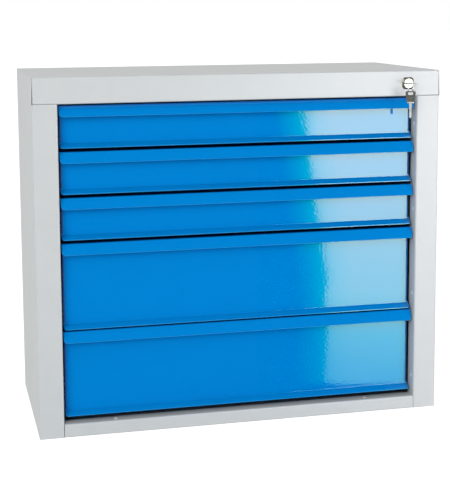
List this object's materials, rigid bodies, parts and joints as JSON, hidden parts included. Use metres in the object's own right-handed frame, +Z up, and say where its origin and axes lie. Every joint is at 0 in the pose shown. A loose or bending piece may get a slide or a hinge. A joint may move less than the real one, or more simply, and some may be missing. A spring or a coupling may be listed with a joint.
{
  "type": "reagent drawer cabinet",
  "caption": "Low grey sheet-steel drawer cabinet with blue lipped drawers, shallow above deep, on ball slides, and a key lock in the top rail that bars all of them.",
  "frame": {"origin": "centre of the cabinet's footprint, on the floor", "axes": "+X to the right seen from the front, +Y to the back (the drawers open towards -Y), +Z up"},
  "size_m": [0.7024, 0.3492, 0.6],
  "materials": {
    "carcass_grey": "satin light grey powder coat",
    "drawer_blue": "glossy blue powder coat",
    "galvanised_steel": "dull zinc plate",
    "slide_steel": "bright zinc plate",
    "rivet_metal": "satin",
    "lock_chrome": "polished",
    "cage_plastic": "matt"
  },
  "bodies": {
    "cabinet": {"left_side_panel": "carcass_grey", "right_side_panel": "carcass_grey", "top_cover": "carcass_grey", "bottom_panel": "carcass_grey", "back_panel": "carcass_grey", "front_upright_left": "galvanised_steel", "front_upright_right": "galvanised_steel", "rear_upright_left": "galvanised_steel", "rear_upright_right": "galvanised_steel", "sill_brackets": "carcass_grey", "stile_rivets": "rivet_metal", "sill_rivets": "rivet_metal", "back_rivets": "rivet_metal", "slide_screws": "slide_steel", "lock_housing": "lock_chrome", "lock_nut": "lock_chrome", "lock_bar_guides": "galvanised_steel", "cabinet_slides_1": "slide_steel", "cabinet_slides_2": "slide_steel", "cabinet_slides_3": "slide_steel", "cabinet_slides_4": "slide_steel", "cabinet_slides_5": "slide_steel"},
    "lock_plug": {"lock_plug": "lock_chrome", "lock_cam": "lock_chrome", "cam_screw": "lock_chrome", "lock_key": "lock_chrome"},
    "lock_bar": {"lock_bar": "galvanised_steel"},
    "key_ring": {"key_ring": "lock_chrome"},
    "drawer_1": {"drawer_1_front": "drawer_blue", "drawer_1_tray": "drawer_blue", "drawer_1_back": "drawer_blue", "drawer_1_slides": "slide_steel"},
    "slide_middle_1": {"middle_slides_1": "slide_steel", "ball_cages_1": "cage_plastic"},
    "drawer_2": {"drawer_2_front": "drawer_blue", "drawer_2_tray": "drawer_blue", "drawer_2_back": "drawer_blue", "drawer_2_slides": "slide_steel"},
    "slide_middle_2": {"middle_slides_2": "slide_steel", "ball_cages_2": "cage_plastic"},
    "drawer_3": {"drawer_3_front": "drawer_blue", "drawer_3_tray": "drawer_blue", "drawer_3_back": "drawer_blue", "drawer_3_slides": "slide_steel"},
    "slide_middle_3": {"middle_slides_3": "slide_steel", "ball_cages_3": "cage_plastic"},
    "drawer_4": {"drawer_4_front": "drawer_blue", "drawer_4_tray": "drawer_blue", "drawer_4_back": "drawer_blue", "drawer_4_slides": "slide_steel"},
    "slide_middle_4": {"middle_slides_4": "slide_steel", "ball_cages_4": "cage_plastic"},
    "drawer_5": {"drawer_5_front": "drawer_blue", "drawer_5_tray": "drawer_blue", "drawer_5_back": "drawer_blue", "drawer_5_slides": "slide_steel"},
    "slide_middle_5": {"middle_slides_5": "slide_steel", "ball_cages_5": "cage_plastic"}
  },
  "joints": [
    {"name": "drawer_1_slide", "type": "slide", "parent": "cabinet", "child": "drawer_1", "axis": [0, -1, 0], "range_m": [0, 0.25]},
    {"name": "middle_1_slide", "type": "slide", "parent": "cabinet", "child": "slide_middle_1", "axis": [0, -1, 0], "range_m": [0, 0.125]},
    {"name": "drawer_2_slide", "type": "slide", "parent": "cabinet", "child": "drawer_2", "axis": [0, -1, 0], "range_m": [0, 0.25]},
    {"name": "middle_2_slide", "type": "slide", "parent": "cabinet", "child": "slide_middle_2", "axis": [0, -1, 0], "range_m": [0, 0.125]},
    {"name": "drawer_3_slide", "type": "slide", "parent": "cabinet", "child": "drawer_3", "axis": [0, -1, 0], "range_m": [0, 0.25]},
    {"name": "middle_3_slide", "type": "slide", "parent": "cabinet", "child": "slide_middle_3", "axis": [0, -1, 0], "range_m": [0, 0.125]},
    {"name": "drawer_4_slide", "type": "slide", "parent": "cabinet", "child": "drawer_4", "axis": [0, -1, 0], "range_m": [0, 0.25]},
    {"name": "middle_4_slide", "type": "slide", "parent": "cabinet", "child": "slide_middle_4", "axis": [0, -1, 0], "range_m": [0, 0.125]},
    {"name": "drawer_5_slide", "type": "slide", "parent": "cabinet", "child": "drawer_5", "axis": [0, -1, 0], "range_m": [0, 0.25]},
    {"name": "middle_5_slide", "type": "slide", "parent": "cabinet", "child": "slide_middle_5", "axis": [0, -1, 0], "range_m": [0, 0.125]},
    {"name": "lock_turn", "type": "hinge", "parent": "cabinet", "child": "lock_plug", "pos_m": [0.292, -0.16, 0.578], "axis": [0, -1, 0], "range_deg": [0, 90]},
    {"name": "lock_bar_lift", "type": "slide", "parent": "cabinet", "child": "lock_bar", "axis": [0, 0, 1], "range_m": [0, 0.01]},
    {"name": "ring_hang", "type": "hinge", "parent": "lock_plug", "child": "key_ring", "pos_m": [0.292, -0.1806, 0.578], "axis": [0, -1, 0], "range_deg": [-90, 0]}
  ],
  "couplings": [
    {"joint": "middle_1_slide", "follows": "drawer_1_slide", "ratio": 0.5},
    {"joint": "middle_2_slide", "follows": "drawer_2_slide", "ratio": 0.5},
    {"joint": "middle_3_slide", "follows": "drawer_3_slide", "ratio": 0.5},
    {"joint": "middle_4_slide", "follows": "drawer_4_slide", "ratio": 0.5},
    {"joint": "middle_5_slide", "follows": "drawer_5_slide", "ratio": 0.5},
    {"joint": "lock_turn", "follows": "lock_bar_lift", "rad_per_m": 157.1},
    {"joint": "ring_hang", "follows": "lock_bar_lift", "rad_per_m": -157.1}
  ]
}
